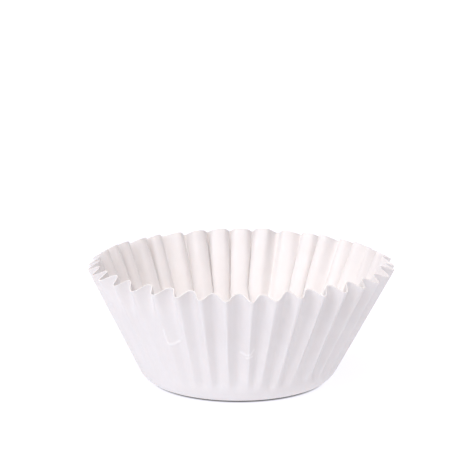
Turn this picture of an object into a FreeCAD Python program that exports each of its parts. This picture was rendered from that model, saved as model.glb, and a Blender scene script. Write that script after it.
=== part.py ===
import FreeCAD, Part
import math
import os

import Sketcher
from FreeCAD import Placement, Rotation, Vector

# A fluted paper candy cup, in millimetres.
#
# The cup is one disc of thin paper. Its round middle stays flat and is the floor. The ring
# around it is folded up and gathered into flutes, because the outer part of the ring has
# more paper in it than the wall has room for. So the flutes are shallow at the fold and
# deepest at the rim. The rim is the disc's own cut edge and runs square to the slope of
# the wall, so the inward valleys stand a little higher than the outward crests.
#
# The paper's outer and inner faces are the same fluted cone, one paper thickness apart.
# Each is turned as a cone over the crests, and its valleys are then cut and patterned.
#
# Z is up. The origin is the middle of the floor's underside.

NODE = "paper_cup"

SIZES = {
    "base_diameter": 25.4,       # across the fold between floor and wall
    "rim_diameter": 42.4,        # across the outward crests at the rim
    "wall_slant": 18.1,          # fold to cut edge, measured up a crest
    "paper_thickness": 0.12,
    "flute_count": 38,
    "rim_flute_depth": 1.7,      # crest to valley at the rim
    "foot_flute_depth": 0.1,     # crest to valley at the fold
    "valley_bend_radius": 0.64,  # outer face of the paper, at the bottom of a valley
    "crest_width": 0.5,          # what is left of the cone between two valleys at the rim
}

# Expressions in the sheet's cells, for the sizes that follow from them.
FOOT_RADIUS = "Sizes.base_diameter / 2"
RIM_RADIUS = "Sizes.rim_diameter / 2"
CREST_LEVEL = f"sqrt(Sizes.wall_slant ^ 2 - ({RIM_RADIUS} - {FOOT_RADIUS}) ^ 2)"
CREST_LEAN = f"asin(({RIM_RADIUS} - {FOOT_RADIUS}) / Sizes.wall_slant)"
VALLEY_FOOT = f"({FOOT_RADIUS} - Sizes.foot_flute_depth)"
VALLEY_RIM = f"({RIM_RADIUS} - Sizes.rim_flute_depth * cos({CREST_LEAN}))"
VALLEY_LEVEL = f"({CREST_LEVEL} + Sizes.rim_flute_depth * sin({CREST_LEAN}))"
VALLEY_LEAN = f"atan(({VALLEY_RIM} - {VALLEY_FOOT}) / {VALLEY_LEVEL})"

# A flank leaves the bend at the bottom of a valley and passes the edge of the crest strip.
# Both places are measured from the middle of the bend: out, and along the round.
EDGE_OUT = "(Sizes.rim_flute_depth - Sizes.valley_bend_radius)"
EDGE_ALONG = f"({RIM_RADIUS} * sin(180 deg / Sizes.flute_count) - Sizes.crest_width / 2)"
FLANK_START = (
    f"atan2({EDGE_ALONG}; {EDGE_OUT})"
    f" + acos(Sizes.valley_bend_radius / hypot({EDGE_OUT}; {EDGE_ALONG}))"
)

# The cavity and the valleys are cut this far past what they open.
CLEARANCE = 2.0

# Places on sketch geometry.
START, END, CENTRE = range(1, 4)
X_AXIS, Y_AXIS = -1, -2
ORIGIN = (-1, START)


def fill_sheet(doc):
    """Put the driving sizes into a sheet, one named cell each."""
    sheet = doc.addObject("Spreadsheet::Sheet", "Sizes")
    for row, (name, value) in enumerate(SIZES.items(), start=1):
        sheet.set(f"A{row}", name)
        sheet.set(f"B{row}", str(value))
        sheet.setAlias(f"B{row}", name)
    doc.recompute()


def origin_part(body, role):
    """Return the plane or axis of the body's own origin that has this role."""
    for feature in body.Origin.OriginFeatures:
        if feature.Role == role:
            return feature
    raise ValueError(f"{body.Label} has no {role}")


def new_sketch(body, name, role):
    """Start a sketch on one of the body's origin planes."""
    sketch = body.newObject("Sketcher::SketchObject", name)
    sketch.AttachmentSupport = [(origin_part(body, role), "")]
    sketch.MapMode = "FlatFace"
    return sketch


def value_of(sketch, expression):
    """Work out an expression, with angles in radians."""
    value = FreeCAD.Units.Quantity(sketch.evalExpression(expression))
    return math.radians(value.Value) if value.Unit.Type == "Angle" else value.Value


def tie(sketch, kind, *groups):
    """Add one kind of geometric constraint to each group of points or edges."""
    for group in groups:
        sketch.addConstraint(Sketcher.Constraint(kind, *group))


def drive(sketch, name, kind, geometry, expression):
    """Add a dimension to a sketch and bind it to the sheet."""
    value = value_of(sketch, expression)
    index = sketch.addConstraint(Sketcher.Constraint(kind, *geometry, value))
    sketch.renameConstraint(index, name)
    sketch.setExpression(f"Constraints.{name}", expression)


def chain(sketch, points):
    """Draw a closed outline of straight lines through the points."""
    lines = []
    for near, far in zip(points, points[1:] + points[:1]):
        lines.append(sketch.addGeometry(Part.LineSegment(near, far)))
    for line, following in zip(lines, lines[1:] + lines[:1]):
        tie(sketch, "Coincident", (line, END, following, START))
    return lines


def crest_cone(body, inset, reach):
    """Half section of the cone over the crests, one inset inside the paper's outer face.

    Its top edge is square to the slope, to past the depth of the valleys, and lies reach
    beyond the cut edge of the paper.
    """
    lean = CREST_LEAN
    foot = f"{FOOT_RADIUS} + {inset} * (sin({lean}) - 1) / cos({lean})"
    rim = f"{RIM_RADIUS} + {reach} * sin({lean}) - {inset} * cos({lean})"
    level = f"{CREST_LEVEL} + {reach} * cos({lean}) + {inset} * (sin({lean}) - 1)"
    band = f"Sizes.rim_flute_depth + Sizes.paper_thickness + {CLEARANCE}"

    sketch = new_sketch(body, "crest_cone", "XZ_Plane")
    sketch.setExpression("AttachmentOffset.Base.y", inset)
    angle = value_of(sketch, lean)
    fold = Vector(value_of(sketch, foot), 0, 0)
    crest = Vector(value_of(sketch, rim), value_of(sketch, level), 0)
    band_end = crest + value_of(sketch, band) * Vector(-math.cos(angle), math.sin(angle), 0)
    axis_end = Vector(0, band_end.y, 0)
    floor, wall, edge, top, axis = chain(sketch, [Vector(), fold, crest, band_end, axis_end])
    tie(sketch, "Coincident", (floor, START, *ORIGIN))
    tie(sketch, "Horizontal", (floor,), (top,))
    tie(sketch, "Vertical", (axis,))
    tie(sketch, "Perpendicular", (wall, edge))
    drive(sketch, "fold", "DistanceX", (*ORIGIN, floor, END), foot)
    drive(sketch, "rim", "DistanceX", (*ORIGIN, wall, END), rim)
    drive(sketch, "level", "DistanceY", (*ORIGIN, wall, END), level)
    drive(sketch, "band", "Distance", (edge,), band)
    return sketch


def valley(body, inset):
    """Section of a valley, seen along it: a round bottom between two straight flanks.

    The sketch stands on the valley's line at the fold. The bend and the flanks lie one
    inset inside the paper's outer face, towards the middle of the cup.
    """
    bend = f"Sizes.valley_bend_radius + {inset}"
    mouth = f"Sizes.rim_flute_depth + {CLEARANCE}"

    sketch = new_sketch(body, "valley", "XY_Plane")
    sketch.AttachmentOffset = Placement(Vector(), Rotation(Vector(0, 1, 0), 1))
    sketch.setExpression("AttachmentOffset.Rotation.Angle", VALLEY_LEAN)
    sketch.setExpression("AttachmentOffset.Base.x", VALLEY_FOOT)
    middle = Vector(value_of(sketch, "Sizes.valley_bend_radius"), 0, 0)
    start = value_of(sketch, FLANK_START)
    radius = value_of(sketch, bend)
    out = value_of(sketch, mouth)
    left_start = middle + radius * Vector(math.cos(start), math.sin(start), 0)
    left_end = left_start + Vector(1, -1 / math.tan(start), 0) * (out - left_start.x)
    right_start = Vector(left_start.x, -left_start.y, 0)
    right_end = Vector(left_end.x, -left_end.y, 0)

    circle = Part.Circle(middle, Vector(0, 0, 1), radius)
    bottom = sketch.addGeometry(Part.ArcOfCircle(circle, start, 2 * math.pi - start))
    left = sketch.addGeometry(Part.LineSegment(left_start, left_end))
    right = sketch.addGeometry(Part.LineSegment(right_start, right_end))
    mouth_line = sketch.addGeometry(Part.LineSegment(left_end, right_end))
    tie(sketch, "Tangent", (bottom, START, left, START), (bottom, END, right, START))
    tie(
        sketch,
        "Coincident",
        (mouth_line, START, left, END),
        (mouth_line, END, right, END),
    )
    tie(sketch, "PointOnObject", (bottom, CENTRE, X_AXIS))
    tie(sketch, "Symmetric", (left, END, right, END, X_AXIS))
    drive(sketch, "middle", "DistanceX", (*ORIGIN, bottom, CENTRE),
          "Sizes.valley_bend_radius")
    drive(sketch, "bend", "Radius", (bottom,), bend)
    drive(sketch, "flank", "Angle", (left,), f"{FLANK_START} - 90 deg")
    drive(sketch, "mouth", "DistanceX", (*ORIGIN, left, END), mouth)
    return sketch


def fluted_cone(doc, name, inset, reach):
    """A solid with the form of one face of the paper: a cone with its valleys cut in."""
    body = doc.addObject("PartDesign::Body", name)

    cone = body.newObject("PartDesign::Revolution", "crests")
    cone.Profile = crest_cone(body, inset, reach)
    cone.ReferenceAxis = (cone.Profile[0], ["V_Axis"])
    cone.Angle = 360
    doc.recompute()
    uncut = cone.Shape.Volume

    cut = body.newObject("PartDesign::Pocket", "one_valley")
    cut.Profile = valley(body, inset)
    cut.Type = "ThroughAll"
    cut.Reversed = True
    doc.recompute()
    if not cut.Shape.Volume < uncut:
        raise RuntimeError(f"the valley of {name} cuts nothing")

    flutes = body.newObject("PartDesign::PolarPattern", "valleys")
    flutes.Originals = [cut]
    flutes.Axis = (origin_part(body, "Z_Axis"), [""])
    flutes.Angle = 360
    flutes.setExpression("Occurrences", "Sizes.flute_count")
    body.Tip = flutes
    doc.recompute()
    return body


def make_cup(doc):
    """The paper between its outer and inner faces."""
    cup = fluted_cone(doc, "Cup", "0", "0")
    cup.Label = NODE
    cavity = fluted_cone(doc, "Cavity", "Sizes.paper_thickness", f"{CLEARANCE}")
    hollow = cup.newObject("PartDesign::Boolean", "hollow")
    hollow.Type = "Cut"
    hollow.addObjects([cavity])
    cup.Tip = hollow
    return cup


def check(doc, body):
    """Stop if any object failed or the cup is not one valid solid."""
    for item in doc.Objects:
        if "Invalid" in item.State or "Error" in item.State:
            raise RuntimeError(f"{item.Label} failed: {item.State}")
    shape = body.Shape
    if shape.isNull() or not shape.isValid() or len(shape.Solids) != 1:
        raise RuntimeError(f"{body.Label} is not one valid solid")


def main():
    doc = FreeCAD.newDocument("candy_cup")
    fill_sheet(doc)
    cup = make_cup(doc)
    doc.recompute()
    check(doc, cup)
    os.makedirs("parts", exist_ok=True)
    cup.Shape.exportStep(f"parts/{cup.Label}.step")
    print(f"{cup.Label}: {cup.Shape.Volume:.1f} mm3 in {len(cup.Shape.Faces)} faces")


main()
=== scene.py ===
"""A pleated paper candy cup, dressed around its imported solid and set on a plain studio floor."""
import math
import random

import bmesh
import bpy
from bpy.props import FloatProperty, FloatVectorProperty, IntProperty, PointerProperty
from bpy.types import Operator, Panel, PropertyGroup
from mathutils import Matrix, Vector


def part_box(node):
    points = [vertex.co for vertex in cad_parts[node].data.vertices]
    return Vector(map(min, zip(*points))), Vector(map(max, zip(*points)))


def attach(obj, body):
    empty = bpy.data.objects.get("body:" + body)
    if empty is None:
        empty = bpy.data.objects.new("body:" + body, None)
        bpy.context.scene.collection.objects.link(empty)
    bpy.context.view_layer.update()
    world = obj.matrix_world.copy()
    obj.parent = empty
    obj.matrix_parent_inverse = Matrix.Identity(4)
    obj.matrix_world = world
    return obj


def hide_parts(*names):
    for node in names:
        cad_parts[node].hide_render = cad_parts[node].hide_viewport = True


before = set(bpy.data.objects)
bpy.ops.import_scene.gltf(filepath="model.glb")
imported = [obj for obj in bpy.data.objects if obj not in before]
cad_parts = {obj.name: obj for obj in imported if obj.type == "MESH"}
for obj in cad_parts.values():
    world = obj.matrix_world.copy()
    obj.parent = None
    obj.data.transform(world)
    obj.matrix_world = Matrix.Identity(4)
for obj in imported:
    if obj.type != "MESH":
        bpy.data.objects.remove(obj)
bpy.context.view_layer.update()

bl_info = {
    "name": "Paper Candy Cup",
    "version": (1, 0, 0),
    "blender": (4, 5, 0),
    "location": "View3D > Sidebar > Candy Cup",
    "description": "Folds a fluted paper candy cup and sets it in a small studio",
    "category": "Object",
}

MM = 0.001
CUP_NODE = "paper_cup"
CUP_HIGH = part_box(CUP_NODE)[1]

# Bearings are in degrees from the front (-Y), turning towards the right (+X). The slant is the
# wall along a crest: its share is 0 where floor and wall would meet, and 1 at the cut rim.

# The flute at the front is number 0, and the numbers go up to the right. Each of these crests
# strays by so many degrees from an even spread, and the others by at most OTHER_STRAYS.
FRONT_STRAYS = {
    -5: 1.6, -4: 1.7, -3: 1.7, -2: 1.5, -1: 0.6, 0: 0.1, 1: -0.2,
    2: -1.2, 3: -1.7, 4: -1.8, 5: -1.8, 6: -1.5, 7: -1.2,
}
OTHER_STRAYS = 0.9
DRIFT_UNTIL = 0.8                # share of the slant where a crest has come back to its bearing

# Flattened stretches of the wall: centre bearing, half width, share of the flute depth that is left.
SOFT_STRETCHES = ((-49.0, 46.0, 0.30), (105.0, 26.0, 0.80))
EVENLY_FLAT = 0.5                # share of the half width that is flattened in full
FILLED_OUT = (0.72, 0.98)        # shares of the slant between which it fills out again

# Pinched crests: bearing, how tightly pinched, sideways kink in degrees, slant share of the kink.
PINCHES = (
    (-170.5, 3.8, -1.5, 0.36),
    (-161.1, 4.4, 1.9, 0.42),
    (-151.6, 1.2, 0.0, 0.40),
    (-132.6, 4.2, -1.6, 0.38),
    (-113.7, 3.2, 1.5, 0.34),
    (-94.7, 1.8, 0.0, 0.40),
    (0.0, 0.8, 0.0, 0.40),
    (37.9, 0.9, 0.0, 0.40),
    (132.6, 2.4, 0.0, 0.40),
    (151.6, 4.2, 1.4, 0.34),
    (161.1, 3.6, -1.6, 0.40),
    (180.0, 4.8, -2.4, 0.46),
)
PINCH_REACH = 4.4                # a crest is pinched if it is this near to such a bearing
PINCH_GROWS = (0.15, 0.6)        # shares of the slant between which the crest closes
PINCH_RELEASE = 0.6              # how far it opens again at the rim, up to 1
PINCHED_ROUND = 0.07             # bluntness of its fold
KINK_BELOW = 0.10                # share of the slant over which a kink turns, below its level
KINK_ABOVE = 0.08                # and above it
KINK_AT_FOOT = 0.4               # share of the kink that is left at the foot
KINK_GROWS = 0.02                # share of the slant from which the kink grows to its level

FOOT_DEPTH = 0.05                # depth of an even flute at the foot, as a share of that at the rim
DEPTH_POWER = 0.8                # power of the slant's share with which the depth grows
LEAST_START = 0.04               # least share of the slant over which a flute begins
RIM_OPENS = 0.6                  # share of the slant above which the folds open
RIM_ROUND = 0.15                 # how much blunter the folds are at the rim
LOOSE_LOW, LOOSE_HIGH = 0.15, 0.95         # share of the loose wave low on the wall, and at the rim

# Slow waves round the cup: waves in a turn, their start in radians, size. In the roundness of
# the rim the size is a share of the radius, and in the floor a share of its height.
RIM_SWAYS = ((2.0, 0.5, 0.006), (3.0, 1.9, 0.004))
FLOOR_RIPPLES = ((3.0, 0.8, 0.3), (5.0, 0.0, 0.2))
RIM_SHRINK = 0.006               # how far the whole rim is drawn in, as a share of its radius

# The cup leans over to the right by SIDE_LEAN from fold to rim, and stays put at LEAN_LEVEL.
SIDE_LEAN = 0.38 * MM
LEAN_LEVEL = 0.55                # share of the slant
FLOOR_DOME = 0.10 * MM           # how far the middle of the floor stands off the ground

# Short creases in the front of the wall, each a line of (bearing, share of the slant).
CREASES = (
    ((-26.6, 0.68), (-26.9, 0.58), (-26.1, 0.545), (-24.3, 0.55), (-21.0, 0.59)),
    ((6.0, 0.502), (8.2, 0.482), (10.5, 0.497), (11.8, 0.532)),
    ((8.6, 0.457), (11.0, 0.472)),
)
CREASE_BAND = (0.4, 0.8)         # shares of the cup's height between which they all lie
CREASE_HEIGHT = 0.10 * MM
CREASE_WIDTH = 0.16 * MM
CREASE_REACH = 4.0 * CREASE_WIDTH          # how far round a crease the mesh is refined
CREASE_CUTS = 3                  # cuts in each edge there
CREASE_MARK = "creased"

# Fineness of the mesh. The floor's rings are given as shares of its flat radius.
SAMPLES_A_FLUTE = 22
CREST_CROWDING = 0.45            # how much closer the samples stand at a crest, up to 1
FLOOR_RINGS = (0.18, 0.45, 0.70, 0.88, 0.975)
FOOT_RINGS = 8
WALL_RINGS = 40
END_CROWDING = 0.20              # how much closer the wall's rings stand at the foot and the rim
MERGE_WITHIN = 0.001 * MM
SMOOTH_UNDER = math.radians(55.0)          # edges that turn less than this are shaded smooth

PAPER_TOOTH = 0.012 * MM         # depth of the sheet's surface bump
EDGE_TOOTH = 0.02 * MM           # and of the cut edge's
EDGE_ROUGHNESS = 0.85
EDGE_SHADE = 0.95                # darkest part of the cut edge, as a share of its tone
ROUGHNESS_SWING = 0.08           # how far the roughness goes up and down with the grain

FLOOR_SIZE = 1.5                 # half the width of the studio floor, in metres
FLOOR_SHADE = 0.985              # darkest part of its faint clouds, as a share of its tone
PAINTED_SHADOW_INNER = 11.2 * MM           # painted contact shadow: the floor's glow is shut off under the cup within this radius
PAINTED_SHADOW_OUTER = 12.2 * MM            # and whole from this one
PAINTED_SHADOW_CENTRE = (-0.15 * MM, -0.1 * MM, 0.0)  # middle of the painted contact shadow, set a little off the cup's middle so that it is uneven
BACKDROP_STRENGTH = 1.05         # just over plain white
SIDE_FROM = (-0.68, -0.66, 0.32)           # where the lights stand, seen from the cup
TOP_FROM = (-0.12, -0.30, 0.94)
SIDE_SPREAD = math.radians(35.0)           # how wide they look from there
TOP_SPREAD = math.radians(70.0)
LIGHT_DISTANCE = 0.5
SENSOR_WIDTH = 36.0              # in millimetres, as the lens's focal length is


class CupSizes(PropertyGroup):
    """Sizes of the folded paper."""

    base_radius: FloatProperty(
        name="Base radius", description="Centre to where floor and wall would meet without the bend",
        default=12.7 * MM, min=4 * MM, unit="LENGTH",
    )
    rim_radius: FloatProperty(
        name="Rim radius", description="Centre to a crest at the rim",
        default=CUP_HIGH.x, min=6 * MM, unit="LENGTH",
    )
    wall_slant: FloatProperty(
        name="Wall slant", description="Wall along a crest, from where it would meet the floor to the rim",
        default=18.1 * MM, min=4 * MM, unit="LENGTH",
    )
    foot_bend: FloatProperty(
        name="Foot bend", description="Radius of the soft bend from the floor to the wall",
        default=3.2 * MM, min=0.2 * MM, unit="LENGTH",
    )
    paper_thickness: FloatProperty(
        name="Paper thickness", description="Thickness of the sheet",
        default=0.12 * MM, min=0.04 * MM, unit="LENGTH",
    )
    flute_count: IntProperty(
        name="Flutes", description="Flutes round the wall", default=38, min=12,
    )
    flute_depth: FloatProperty(
        name="Flute depth", description="Crest to valley at the rim",
        default=1.6 * MM, min=0.2 * MM, unit="LENGTH",
    )
    unevenness: FloatProperty(
        name="Unevenness", description="How far the flutes stray from an even fold",
        default=1.0, min=0.0, max=2.0, subtype="FACTOR",
    )
    seed: IntProperty(name="Seed", description="Draw of the uneven folds", default=11)


class PaperLook(PropertyGroup):
    """Colours and finish of the paper."""

    light_tone: FloatVectorProperty(
        name="Light tone", description="Paper where its fibres lie thick",
        default=(0.790, 0.768, 0.762), subtype="COLOR", min=0.0, max=1.0,
    )
    dark_tone: FloatVectorProperty(
        name="Dark tone", description="Paper where its fibres lie thin",
        default=(0.750, 0.726, 0.719), subtype="COLOR", min=0.0, max=1.0,
    )
    edge_tone: FloatVectorProperty(
        name="Cut edge", description="Raw fibres of the cut rim",
        default=(0.74, 0.72, 0.70), subtype="COLOR", min=0.0, max=1.0,
    )
    # Lighter along the creases: partly whitened fibres, partly a painted highlight along each ridge.
    crease_whitening_and_highlight: FloatVectorProperty(
        name="Crease tone", description="Paper whitened along a sharp crease",
        default=(0.86, 0.84, 0.83), subtype="COLOR", min=0.0, max=1.0,
    )
    roughness: FloatProperty(
        name="Roughness", description="Surface roughness of the sheet",
        default=0.62, min=0.0, max=1.0, subtype="FACTOR",
    )


class StudioSetup(PropertyGroup):
    """Camera, floor and lights."""

    camera_elevation: FloatProperty(
        name="Camera elevation", description="Angle of the camera above the point it looks at",
        default=math.radians(11.8), subtype="ANGLE",
    )
    camera_bearing: FloatProperty(
        name="Camera bearing", description="Turn of the camera and the lights round the cup",
        default=math.radians(5.6), subtype="ANGLE",
    )
    camera_distance: FloatProperty(
        name="Camera distance", description="Camera to the point it looks at",
        default=0.254, unit="LENGTH",
    )
    lens: FloatProperty(
        name="Lens", description="Focal length on a sensor 36 mm wide",
        default=147.0, min=10.0, unit="CAMERA",
    )
    aim: FloatVectorProperty(
        name="Aim", description="Point that the camera looks at",
        default=(-0.0015, -0.00015, 0.0210), subtype="XYZ", unit="LENGTH",
    )
    side_strength: FloatProperty(
        name="Side light", description="Strength of the soft light from the left", default=0.75, min=0.0,
    )
    side_tone: FloatVectorProperty(
        name="Side tone", description="Colour of the soft light from the left",
        default=(0.90, 0.92, 1.0), subtype="COLOR", min=0.0, max=1.0,
    )
    top_strength: FloatProperty(
        name="Top light", description="Strength of the soft light overhead", default=2.8, min=0.0,
    )
    top_tone: FloatVectorProperty(
        name="Top tone", description="Colour of the soft light overhead",
        default=(1.0, 0.95, 0.91), subtype="COLOR", min=0.0, max=1.0,
    )
    sky_strength: FloatProperty(
        name="Sky strength", description="Even light from all round", default=0.44, min=0.0,
    )
    sky_tone: FloatVectorProperty(
        name="Sky tone", description="Colour of the even light",
        default=(0.92, 0.90, 1.0), subtype="COLOR", min=0.0, max=1.0,
    )
    floor_tone: FloatVectorProperty(
        name="Floor tone", description="Colour of the studio floor",
        default=(0.15, 0.15, 0.155), subtype="COLOR", min=0.0, max=1.0,
    )
    glow_strength: FloatProperty(
        name="Floor glow", description="Strength of the floor's own light", default=0.94, min=0.0,
    )
    glow_tone: FloatVectorProperty(
        name="Glow tone", description="Colour of the floor's own light",
        default=(0.95, 0.94, 1.0), subtype="COLOR", min=0.0, max=1.0,
    )


def smooth_step(low, high, value):
    """Rise from 0 to 1 between low and high, with a flat start and end."""
    share = min(max((value - low) / (high - low), 0.0), 1.0)
    return share * share * (3.0 - 2.0 * share)


def blend(first, second, part):
    """A value part of the way from one to another."""
    return first * (1.0 - part) + second * part


def crowd_ends(share, amount):
    """Move an even share towards the nearer end of its span, so that the ends are crowded."""
    return share - amount * math.sin(2.0 * math.pi * share) / (2.0 * math.pi)


def turn_between(start, end):
    """Shortest turn from one bearing to another, in degrees."""
    return (end - start + 180.0) % 360.0 - 180.0


def wall_lean(sizes):
    """Lean of the wall outwards from upright, in radians."""
    return math.asin((sizes.rim_radius - sizes.base_radius) / sizes.wall_slant)


def bend_reach(sizes):
    """Length that the bend at the foot takes off the floor, and off the slant of the wall."""
    return sizes.foot_bend * math.tan((math.pi / 2.0 - wall_lean(sizes)) / 2.0)


class Flute:
    """One crest and the valley that follows it round the wall."""

    def __init__(self, bearing, draw, unevenness):
        def stray(below, above):
            """A random step down or up from the usual value."""
            return unevenness * draw.uniform(-below, above)

        self.bearing = bearing
        self.depth = 1.0 + stray(0.15, 0.15)           # times the depth of an even flute
        self.crest_round = 0.14 + stray(0.05, 0.06)    # bluntness of the fold
        self.fullness = 0.26 + stray(0.10, 0.10)       # how full the loose wave is
        self.pinch = 0.30 + stray(0.20, 0.30)          # how tightly the crest is pinched
        self.skew = stray(0.10, 0.10)                  # how far the valley sits to one side
        self.rise = stray(0.16, 0.16) * MM             # cut edge above an even rim
        self.drift = stray(1.3, 1.3)                   # degrees to one side at the foot
        self.start = draw.uniform(0.03, 0.12)          # slant share, besides LEAST_START
        self.kink = 0.0                                # degrees to one side below the kink
        self.kink_level = 0.4                          # share of the slant
        self.flattened = 0.0                           # share of its depth that is pressed out
        self.close_pinched(unevenness)
        self.press_out(unevenness)

    def close_pinched(self, unevenness):
        """Close this crest if it is one of the pinched ones."""
        for bearing, pinch, kink, level in PINCHES:
            if abs(turn_between(bearing, self.bearing)) < PINCH_REACH:
                self.crest_round = PINCHED_ROUND
                self.pinch = pinch * unevenness
                self.kink = kink * unevenness
                self.kink_level = level

    def press_out(self, unevenness):
        """Press this flute out as far as it lies in a flattened stretch of the wall."""
        for centre, half_width, left in SOFT_STRETCHES:
            away = abs(turn_between(centre, self.bearing)) / half_width
            pressed = (1.0 - left) * (1.0 - smooth_step(EVENLY_FLAT, 1.0, away)) * unevenness
            self.flattened = max(self.flattened, pressed)

    def sideways(self, share):
        """Sideways stray of the crest in degrees at a share of the slant."""
        drift = self.drift * (1.0 - smooth_step(0.0, DRIFT_UNTIL, share))
        above = smooth_step(self.kink_level - KINK_BELOW, self.kink_level + KINK_ABOVE, share)
        below = smooth_step(KINK_GROWS, self.kink_level, share)
        return drift + self.kink * (1.0 - above) * blend(KINK_AT_FOOT, 1.0, below)


def draw_flutes(sizes):
    """All flutes in order round the wall, each a little astray from an even spread."""
    draw = random.Random(sizes.seed)
    count = sizes.flute_count
    flutes = []
    for number in range(count):
        place = number - count if number > count / 2 else number
        stray = FRONT_STRAYS.get(place, draw.uniform(-OTHER_STRAYS, OTHER_STRAYS))
        bearing = 360.0 * place / count + sizes.unevenness * stray
        flutes.append(Flute(bearing, draw, sizes.unevenness))
    return flutes


def flute_wave(part, flute, following, share):
    """Depth of the flute between two crests: 0 on a crest and 1 at the bottom of the valley.

    Flat flanks meet in rounded folds on the wall and open into a loose wave at the rim. A pinched
    crest closes to a narrow groove, and the paper beside it bows gently.
    """
    part += flute.skew * math.sin(math.pi * part) ** 2
    near, away = (flute, part) if part < 0.5 else (following, 1.0 - part)
    away = 2.0 * max(away, 0.0)
    opened = smooth_step(RIM_OPENS, 1.0, share)
    pinch = near.pinch * smooth_step(*PINCH_GROWS, share) * (1.0 - PINCH_RELEASE * opened)
    away = 0.5 * away * (1.0 + pinch) / (1.0 + pinch * away)
    wave = math.cos(2.0 * math.pi * away)
    crisp = 1.0 - near.crest_round - RIM_ROUND * opened
    folded = 0.5 - math.asin(crisp * wave) / (2.0 * math.asin(crisp))
    loose = 0.5 - 0.5 * wave * (1.0 + near.fullness) / (1.0 + near.fullness * wave * wave)
    return blend(folded, loose, blend(LOOSE_LOW, LOOSE_HIGH, opened))


def even_depth(share, pressed, start, foot_share):
    """Depth of a flute at a share of the slant, as a share of an even one's depth at the rim."""
    depth = blend(FOOT_DEPTH, 1.0, share ** DEPTH_POWER)
    depth *= smooth_step(foot_share, foot_share + LEAST_START + start, share)
    return depth * (1.0 - pressed * (1.0 - smooth_step(*FILLED_OUT, share)))


def points_round(ring, flutes):
    """Each point of a ring with the flutes before and after it, and its part of the way between."""
    for index, vert in enumerate(ring):
        number, sample = divmod(index, SAMPLES_A_FLUTE)
        part = crowd_ends(sample / SAMPLES_A_FLUTE, CREST_CROWDING)
        yield vert, flutes[number], flutes[(number + 1) % len(flutes)], part


def place_point(vert, sizes, share, out, turn, up):
    """Move a point to a radius, a bearing in radians and a height, on a cup that leans aside."""
    aside = sizes.unevenness * (share - LEAN_LEVEL) * SIDE_LEAN
    vert.co = Vector((out * math.sin(turn) + aside, -out * math.cos(turn), up))


def shape_wall_ring(ring, flutes, sizes, slant):
    """Move one ring of points onto the fluted wall at a distance up the slant."""
    share = slant / sizes.wall_slant
    foot_share = bend_reach(sizes) / sizes.wall_slant
    lean = wall_lean(sizes)
    for vert, flute, following, part in points_round(ring, flutes):
        pitch = turn_between(flute.bearing, following.bearing)
        stray = blend(flute.sideways(share), following.sideways(share), part)
        turn = math.radians(flute.bearing + pitch * part + stray)

        # Crests that stand wide apart leave more paper between them for the depth.
        room = (pitch * len(flutes) / 360.0) ** 0.5
        pressed = blend(flute.flattened, following.flattened, part)
        depth = sizes.flute_depth * flute.depth * room
        dip = depth * even_depth(share, pressed, flute.start, foot_share)
        dip *= flute_wave(part, flute, following, share)

        along = slant + blend(flute.rise, following.rise, part) * share * share
        sway = sum(size * math.cos(waves * turn + start) for waves, start, size in RIM_SWAYS)
        out = sizes.base_radius + along * math.sin(lean) - dip * math.cos(lean)
        out *= 1.0 + (sizes.unevenness * sway - RIM_SHRINK) * share
        up = along * math.cos(lean) + dip * math.sin(lean)
        place_point(vert, sizes, share, out, turn, up)


def shape_round_ring(ring, flutes, sizes, radius, height, rippled):
    """Move one ring of points onto a circle, at one height or rippled gently between it and 0."""
    for vert, flute, following, part in points_round(ring, flutes):
        turn = math.radians(flute.bearing + turn_between(flute.bearing, following.bearing) * part)
        ripple = sum(size * math.sin(waves * turn + start) for waves, start, size in FLOOR_RIPPLES)
        up = height * (0.5 + ripple) if rippled else height
        place_point(vert, sizes, 0.0, radius, turn, up)


def next_ring(mesh, edges, ring):
    """Extrude a ring and return its new edges, and its new points in the same order as before."""
    made = bmesh.ops.extrude_edge_only(mesh, edges=edges)["geom"]
    new_verts = {item for item in made if isinstance(item, bmesh.types.BMVert)}
    new_edges = [item for item in made if isinstance(item, bmesh.types.BMEdge)]
    new_edges = [edge for edge in new_edges if new_verts.issuperset(edge.verts)]
    position = {vert: index for index, vert in enumerate(ring)}
    ordered = [None] * len(ring)
    for vert in new_verts:
        for edge in vert.link_edges:
            below = edge.other_vert(vert)
            if below in position:
                ordered[position[below]] = vert
    return new_edges, ordered


def fold_cup_mesh(sizes):
    """The folded sheet without thickness, from the floor to the cut rim, and the rim's edges."""
    flutes = draw_flutes(sizes)
    reach = bend_reach(sizes)
    flat_radius = sizes.base_radius - reach
    mesh = bmesh.new()
    around = sizes.flute_count * SAMPLES_A_FLUTE
    made = bmesh.ops.create_circle(mesh, cap_ends=True, radius=flat_radius, segments=around)
    ring = list(made["verts"])
    edges = mesh.edges[:]

    for number, share in enumerate(FLOOR_RINGS):
        if number:
            edges, ring = next_ring(mesh, edges, ring)
        height = FLOOR_DOME * (1.0 - share * share)
        shape_round_ring(ring, flutes, sizes, flat_radius * share, height, rippled=True)

    for number in range(FOOT_RINGS):
        turn = (math.pi / 2.0 - wall_lean(sizes)) * number / (FOOT_RINGS - 1)
        radius = flat_radius + sizes.foot_bend * math.sin(turn)
        height = sizes.foot_bend * (1.0 - math.cos(turn))
        edges, ring = next_ring(mesh, edges, ring)
        shape_round_ring(ring, flutes, sizes, radius, height, rippled=False)

    for number in range(1, WALL_RINGS + 1):
        share = crowd_ends(number / WALL_RINGS, END_CROWDING)
        edges, ring = next_ring(mesh, edges, ring)
        shape_wall_ring(ring, flutes, sizes, blend(reach, sizes.wall_slant, share))

    press_creases(mesh, sizes)
    bmesh.ops.remove_doubles(mesh, verts=mesh.verts, dist=MERGE_WITHIN)
    bmesh.ops.recalc_face_normals(mesh, faces=mesh.faces)
    return mesh, edges


def distance_to_line(spot, line):
    """Distance from a flat point to a line of straight pieces."""
    nearest = math.inf
    for start, end in zip(line, line[1:]):
        piece = end - start
        along = min(max((spot - start).dot(piece) / piece.length_squared, 0.0), 1.0)
        nearest = min(nearest, (spot - start - piece * along).length)
    return nearest


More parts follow.
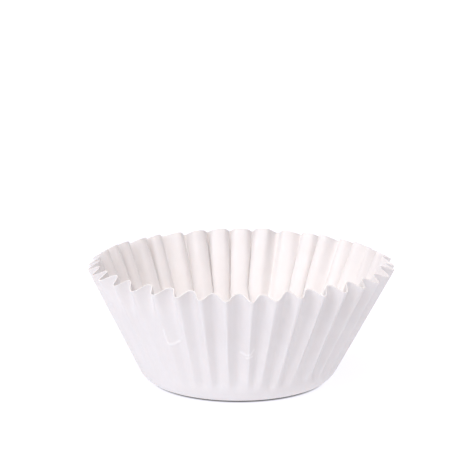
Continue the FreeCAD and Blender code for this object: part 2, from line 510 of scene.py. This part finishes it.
def press_creases(mesh, sizes):
    """Refine the sheet along each short crease and raise it there into a fine ridge."""
    lean = wall_lean(sizes)
    low, high = (share * CUP_HIGH.z for share in CREASE_BAND)
    degree = 0.5 * (sizes.base_radius + sizes.rim_radius) * math.radians(1.0)
    lines = [
        [Vector((bearing * degree, share * sizes.wall_slant)) for bearing, share in crease]
        for crease in CREASES
    ]

    def in_band(vert):
        """Whether a point is in the front of the wall, at the height of the creases."""
        return low < vert.co.z < high and vert.co.y < 0.0

    def away(vert):
        """Distance from a point to the nearest crease, over the unrolled wall."""
        bearing = math.degrees(math.atan2(vert.co.x, -vert.co.y))
        spot = Vector((bearing * degree, vert.co.z / math.cos(lean)))
        return min(distance_to_line(spot, line) for line in lines)

    near = {vert for vert in mesh.verts if in_band(vert) and away(vert) < CREASE_REACH}
    edges = [edge for edge in mesh.edges if near.issuperset(edge.verts)]
    bmesh.ops.subdivide_edges(mesh, edges=edges, cuts=CREASE_CUTS, use_grid_fill=True)
    mark = mesh.verts.layers.float.new(CREASE_MARK)
    for vert in mesh.verts:
        if in_band(vert):
            vert[mark] = math.exp(-((away(vert) / CREASE_WIDTH) ** 2))
            lift = sizes.unevenness * CREASE_HEIGHT * vert[mark]
            flat = Vector((vert.co.x, vert.co.y, 0.0)).normalized()
            vert.co += lift * (flat * math.cos(lean) - Vector((0.0, 0.0, math.sin(lean))))


def give_thickness(mesh, rim_edges, thickness):
    """Give the sheet its thickness inwards and mark the cut rim with the second material."""
    outer_faces = mesh.faces[:]
    highest = max(outer_faces, key=lambda face: face.calc_center_median().z)
    if highest.normal.xy.dot(highest.calc_center_median().xy) < 0.0:
        bmesh.ops.reverse_faces(mesh, faces=outer_faces)
    outer = set(outer_faces)
    bmesh.ops.solidify(mesh, geom=outer_faces, thickness=thickness)
    for edge in rim_edges:
        if edge.is_valid:
            for face in edge.link_faces:
                if face not in outer:
                    face.material_index = 1


def add_object(name, mesh):
    """Put a mesh in the scene as an object at the origin."""
    data = bpy.data.meshes.new(name)
    mesh.to_mesh(data)
    mesh.free()
    thing = bpy.data.objects.new(name, data)
    bpy.context.scene.collection.objects.link(thing)
    return thing


def mix_tones(tree, factor, low, high):
    """A mix of two colours by the value of a socket. Each colour is a socket or a plain one."""
    mix = tree.nodes.new("ShaderNodeMix")
    mix.data_type = "RGBA"
    tree.links.new(factor, mix.inputs["Factor"])
    for name, tone in (("A", low), ("B", high)):
        if isinstance(tone, bpy.types.NodeSocket):
            tree.links.new(tone, mix.inputs[name])
        else:
            mix.inputs[name].default_value = (*tone, 1.0)
    return mix.outputs["Result"]


def multiply_add(tree, value, factor, added):
    """The value of one socket times a factor, with the value of another added."""
    result = tree.nodes.new("ShaderNodeMath")
    result.operation = "MULTIPLY_ADD"
    result.inputs[1].default_value = factor
    tree.links.new(value, result.inputs[0])
    tree.links.new(added, result.inputs[2])
    return result.outputs["Value"]


def grain_noise(tree, place, scale, detail):
    """A noise texture on a place, at the scale that a socket gives."""
    noise = tree.nodes.new("ShaderNodeTexNoise")
    noise.inputs["Detail"].default_value = detail
    tree.links.new(place, noise.inputs["Vector"])
    tree.links.new(scale, noise.inputs["Scale"])
    return noise


def grain_group():
    """Paper grain for any sheet: cloudy tone, fibres and tooth, laid on a given place."""
    name = "paper_grain"
    if name in bpy.data.node_groups:
        return bpy.data.node_groups[name]
    group = bpy.data.node_groups.new(name, "ShaderNodeTree")
    face = group.interface
    face.new_socket("Place", in_out="INPUT", socket_type="NodeSocketVector")
    for title, scale in (("Cloud Scale", 260.0), ("Fibre Scale", 1500.0), ("Tooth Scale", 5200.0)):
        socket = face.new_socket(title, in_out="INPUT", socket_type="NodeSocketFloat")
        socket.default_value = scale
    face.new_socket("Tone", in_out="OUTPUT", socket_type="NodeSocketFloat")
    face.new_socket("Height", in_out="OUTPUT", socket_type="NodeSocketFloat")
    into = group.nodes.new("NodeGroupInput").outputs
    out = group.nodes.new("NodeGroupOutput").inputs

    cloud = grain_noise(group, into["Place"], into["Cloud Scale"], detail=4.0)
    cloud.inputs["Roughness"].default_value = 0.62
    stretch = group.nodes.new("ShaderNodeMapping")
    stretch.inputs["Scale"].default_value = (1.0, 1.0, 0.28)
    group.links.new(into["Place"], stretch.inputs["Vector"])
    fibre = grain_noise(group, stretch.outputs["Vector"], into["Fibre Scale"], detail=3.0)
    fibre.inputs["Distortion"].default_value = 1.4
    tooth = grain_noise(group, into["Place"], into["Tooth Scale"], detail=2.0)

    spread = group.nodes.new("ShaderNodeMapRange")
    spread.inputs["From Min"].default_value = 0.3
    spread.inputs["From Max"].default_value = 0.7
    spread.inputs["To Max"].default_value = 0.65
    group.links.new(cloud.outputs["Fac"], spread.inputs["Value"])
    tone = multiply_add(group, fibre.outputs["Fac"], factor=0.35, added=spread.outputs["Result"])
    height = multiply_add(group, tooth.outputs["Fac"], factor=0.45, added=fibre.outputs["Fac"])
    group.links.new(tone, out["Tone"])
    group.links.new(height, out["Height"])
    return group


def new_finish(name):
    """A new material with nodes: the material, its node tree and its shader."""
    finish = bpy.data.materials.new(name)
    finish.use_nodes = True
    return finish, finish.node_tree, finish.node_tree.nodes["Principled BSDF"]


def paper_material(name, light_tone, dark_tone, crease_whitening_and_highlight, roughness, tooth):
    """A paper finish with grain in its tone, roughness and surface, lighter along its creases: whitened
    fibres there, and a painted highlight along each ridge.
    """
    finish, tree, shader = new_finish(name)
    place = tree.nodes.new("ShaderNodeTexCoord")
    grain = tree.nodes.new("ShaderNodeGroup")
    grain.node_tree = grain_group()
    tree.links.new(place.outputs["Object"], grain.inputs["Place"])

    mark = tree.nodes.new("ShaderNodeAttribute")
    mark.attribute_name = CREASE_MARK
    tones = mix_tones(tree, grain.outputs["Tone"], dark_tone, light_tone)
    # Painted highlight along the creases, together with the whitening of their fibres.
    whitened_and_highlit = mix_tones(tree, mark.outputs["Fac"], tones, crease_whitening_and_highlight)
    tree.links.new(whitened_and_highlit, shader.inputs["Base Color"])

    gloss = tree.nodes.new("ShaderNodeMapRange")
    gloss.inputs["To Min"].default_value = roughness + ROUGHNESS_SWING
    gloss.inputs["To Max"].default_value = roughness - ROUGHNESS_SWING
    tree.links.new(grain.outputs["Tone"], gloss.inputs["Value"])
    tree.links.new(gloss.outputs["Result"], shader.inputs["Roughness"])

    bump = tree.nodes.new("ShaderNodeBump")
    bump.inputs["Distance"].default_value = tooth
    bump.inputs["Strength"].default_value = 0.6
    tree.links.new(grain.outputs["Height"], bump.inputs["Height"])
    tree.links.new(bump.outputs["Normal"], shader.inputs["Normal"])

    shader.inputs["Specular IOR Level"].default_value = 0.35
    shader.inputs["Subsurface Weight"].default_value = 0.25
    shader.inputs["Subsurface Radius"].default_value = (1.0, 0.8, 0.7)
    shader.inputs["Subsurface Scale"].default_value = 0.4 * MM
    return finish


class OBJECT_OT_fold_candy_cup(Operator):
    """Fold the fluted paper cup from its sizes"""

    bl_idname = "object.fold_candy_cup"
    bl_label = "Fold Paper Cup"

    def execute(self, context):
        sizes = context.scene.candy_cup_sizes
        look = context.scene.candy_cup_look
        if not 0.0 < sizes.rim_radius - sizes.base_radius < sizes.wall_slant:
            raise ValueError("The rim has to be wider than the base by less than the wall's slant.")
        if bend_reach(sizes) >= min(sizes.base_radius, sizes.wall_slant):
            raise ValueError("The foot bend is too wide for the floor or the wall.")

        mesh, rim_edges = fold_cup_mesh(sizes)
        give_thickness(mesh, rim_edges, sizes.paper_thickness)
        cup = add_object("folded_paper_cup", mesh)
        cup.data.shade_smooth()
        cup.data.set_sharp_from_angle(angle=SMOOTH_UNDER)
        white_paper = paper_material(
            "white_paper", look.light_tone, look.dark_tone, look.crease_whitening_and_highlight, look.roughness, PAPER_TOOTH,
        )
        edge_shade = [value * EDGE_SHADE for value in look.edge_tone]
        cut_edge = paper_material(
            "cut_edge", look.edge_tone, edge_shade, look.crease_whitening_and_highlight, EDGE_ROUGHNESS, EDGE_TOOTH,
        )
        cup.data.materials.append(white_paper)
        cup.data.materials.append(cut_edge)
        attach(cup, "root")
        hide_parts(CUP_NODE)
        return {"FINISHED"}


def turned(direction, bearing):
    """A direction turned round the vertical."""
    return Matrix.Rotation(bearing, 3, "Z") @ Vector(direction)


def aim_at(thing, target):
    """Turn a light or camera to look at a point."""
    away = Vector(target) - thing.location
    thing.rotation_euler = away.to_track_quat("-Z", "Y").to_euler()


def soft_light(name, direction, spread, strength, tone):
    """A distant soft light from one direction, as wide across the sky as its spread."""
    data = bpy.data.lights.new(name, "SUN")
    data.angle = spread
    data.energy = strength
    data.color = tone
    light = bpy.data.objects.new(name, data)
    light.location = direction * LIGHT_DISTANCE
    bpy.context.scene.collection.objects.link(light)
    aim_at(light, (0.0, 0.0, 0.0))


def studio_sky(strength, tone):
    """An even sky that lights softly and looks plain white behind the object."""
    world = bpy.data.worlds.new("studio_sky")
    world.use_nodes = True
    nodes, links = world.node_tree.nodes, world.node_tree.links
    glow = nodes["Background"]
    glow.inputs["Color"].default_value = (*tone, 1.0)
    glow.inputs["Strength"].default_value = strength
    seen = nodes.new("ShaderNodeBackground")
    seen.inputs["Color"].default_value = (1.0, 1.0, 1.0, 1.0)
    seen.inputs["Strength"].default_value = BACKDROP_STRENGTH
    path = nodes.new("ShaderNodeLightPath")
    mix = nodes.new("ShaderNodeMixShader")
    links.new(path.outputs["Is Camera Ray"], mix.inputs[0])
    links.new(glow.outputs[0], mix.inputs[1])
    links.new(seen.outputs[0], mix.inputs[2])
    links.new(mix.outputs[0], nodes["World Output"].inputs["Surface"])
    bpy.context.scene.world = world


def glow_mask_with_painted_shadow(tree, place):
    """Where the floor gives light: 0 under the cup, 1 round it and on the whole underside; the dark ring
    round the foot is a painted contact shadow.
    """
    shifted = tree.nodes.new("ShaderNodeVectorMath")
    shifted.operation = "SUBTRACT"
    shifted.inputs[1].default_value = PAINTED_SHADOW_CENTRE
    tree.links.new(place, shifted.inputs[0])
    away = tree.nodes.new("ShaderNodeVectorMath")
    away.operation = "LENGTH"
    tree.links.new(shifted.outputs[0], away.inputs[0])
    outside = tree.nodes.new("ShaderNodeMapRange")
    outside.interpolation_type = "SMOOTHSTEP"
    outside.inputs["From Min"].default_value = PAINTED_SHADOW_INNER
    outside.inputs["From Max"].default_value = PAINTED_SHADOW_OUTER
    tree.links.new(away.outputs["Value"], outside.inputs["Value"])
    side = tree.nodes.new("ShaderNodeNewGeometry")
    lit = tree.nodes.new("ShaderNodeMath")
    lit.operation = "MAXIMUM"
    tree.links.new(outside.outputs["Result"], lit.inputs[0])
    tree.links.new(side.outputs["Backfacing"], lit.inputs[1])
    return lit.outputs["Value"]


def floor_finish(tone, glow_tone, glow_strength):
    """Matt studio floor with a faint cloudy tone and a light of its own, shut off under the cup to paint a
    dark contact shadow.
    """
    finish, tree, shader = new_finish("pale_floor")
    shader.inputs["Roughness"].default_value = 0.9
    shader.inputs["Specular IOR Level"].default_value = 0.1
    place = tree.nodes.new("ShaderNodeTexCoord").outputs["Object"]
    # The glow is shut off round the foot, which paints a dark contact shadow on the floor.
    glow = mix_tones(tree, glow_mask_with_painted_shadow(tree, place), (0.0, 0.0, 0.0), glow_tone)
    tree.links.new(glow, shader.inputs["Emission Color"])
    shader.inputs["Emission Strength"].default_value = glow_strength
    cloud = tree.nodes.new("ShaderNodeTexNoise")
    cloud.inputs["Scale"].default_value = 9.0
    tree.links.new(place, cloud.inputs["Vector"])
    shade = [value * FLOOR_SHADE for value in tone]
    tree.links.new(mix_tones(tree, cloud.outputs["Fac"], shade, tone), shader.inputs["Base Color"])
    return finish


def set_camera(studio):
    """Camera in front of the cup, looking slightly down at a point just above it."""
    data = bpy.data.cameras.new("studio_camera")
    data.sensor_width = SENSOR_WIDTH
    data.lens = studio.lens
    data.clip_start = 0.01
    camera = bpy.data.objects.new("studio_camera", data)
    rise = studio.camera_elevation
    back = turned((0.0, -math.cos(rise), math.sin(rise)), studio.camera_bearing)
    camera.location = Vector(studio.aim) + back * studio.camera_distance
    bpy.context.scene.collection.objects.link(camera)
    aim_at(camera, studio.aim)
    bpy.context.scene.camera = camera


class SCENE_OT_set_candy_cup_studio(Operator):
    """Set the floor, the lights and the camera"""

    bl_idname = "scene.set_candy_cup_studio"
    bl_label = "Set Studio"

    def execute(self, context):
        studio = context.scene.candy_cup_studio
        sheet = bmesh.new()
        bmesh.ops.create_grid(sheet, x_segments=4, y_segments=4, size=FLOOR_SIZE)
        floor = add_object("studio_floor", sheet)
        floor.data.materials.append(
            floor_finish(studio.floor_tone, studio.glow_tone, studio.glow_strength)
        )
        from_side = turned(SIDE_FROM, studio.camera_bearing)
        from_top = turned(TOP_FROM, studio.camera_bearing)
        soft_light("side_light", from_side, SIDE_SPREAD, studio.side_strength, studio.side_tone)
        soft_light("top_light", from_top, TOP_SPREAD, studio.top_strength, studio.top_tone)
        studio_sky(studio.sky_strength, studio.sky_tone)
        set_camera(studio)
        context.scene.view_settings.view_transform = "Standard"
        return {"FINISHED"}


class VIEW3D_PT_candy_cup(Panel):
    """Sizes, finish and studio of the candy cup"""

    bl_label = "Candy Cup"
    bl_idname = "VIEW3D_PT_candy_cup"
    bl_space_type = "VIEW_3D"
    bl_region_type = "UI"
    bl_category = "Candy Cup"

    def draw(self, context):
        scene, layout = context.scene, self.layout
        for title, group in (
            ("Folding", scene.candy_cup_sizes),
            ("Paper", scene.candy_cup_look),
            ("Studio", scene.candy_cup_studio),
        ):
            box = layout.box()
            box.label(text=title)
            for name in group.__annotations__:
                box.prop(group, name)
        layout.operator(OBJECT_OT_fold_candy_cup.bl_idname)
        layout.operator(SCENE_OT_set_candy_cup_studio.bl_idname)


CLASSES = (
    CupSizes,
    PaperLook,
    StudioSetup,
    OBJECT_OT_fold_candy_cup,
    SCENE_OT_set_candy_cup_studio,
    VIEW3D_PT_candy_cup,
)


def register():
    """Add the properties, the operators and the panel."""
    for cls in CLASSES:
        bpy.utils.register_class(cls)
    bpy.types.Scene.candy_cup_sizes = PointerProperty(type=CupSizes)
    bpy.types.Scene.candy_cup_look = PointerProperty(type=PaperLook)
    bpy.types.Scene.candy_cup_studio = PointerProperty(type=StudioSetup)


def unregister():
    """Take them away again."""
    del bpy.types.Scene.candy_cup_studio
    del bpy.types.Scene.candy_cup_look
    del bpy.types.Scene.candy_cup_sizes
    for cls in reversed(CLASSES):
        bpy.utils.unregister_class(cls)


def main():
    """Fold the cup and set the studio."""
    register()
    bpy.ops.object.fold_candy_cup()
    bpy.ops.scene.set_candy_cup_studio()


if __name__ == "__main__":
    main()
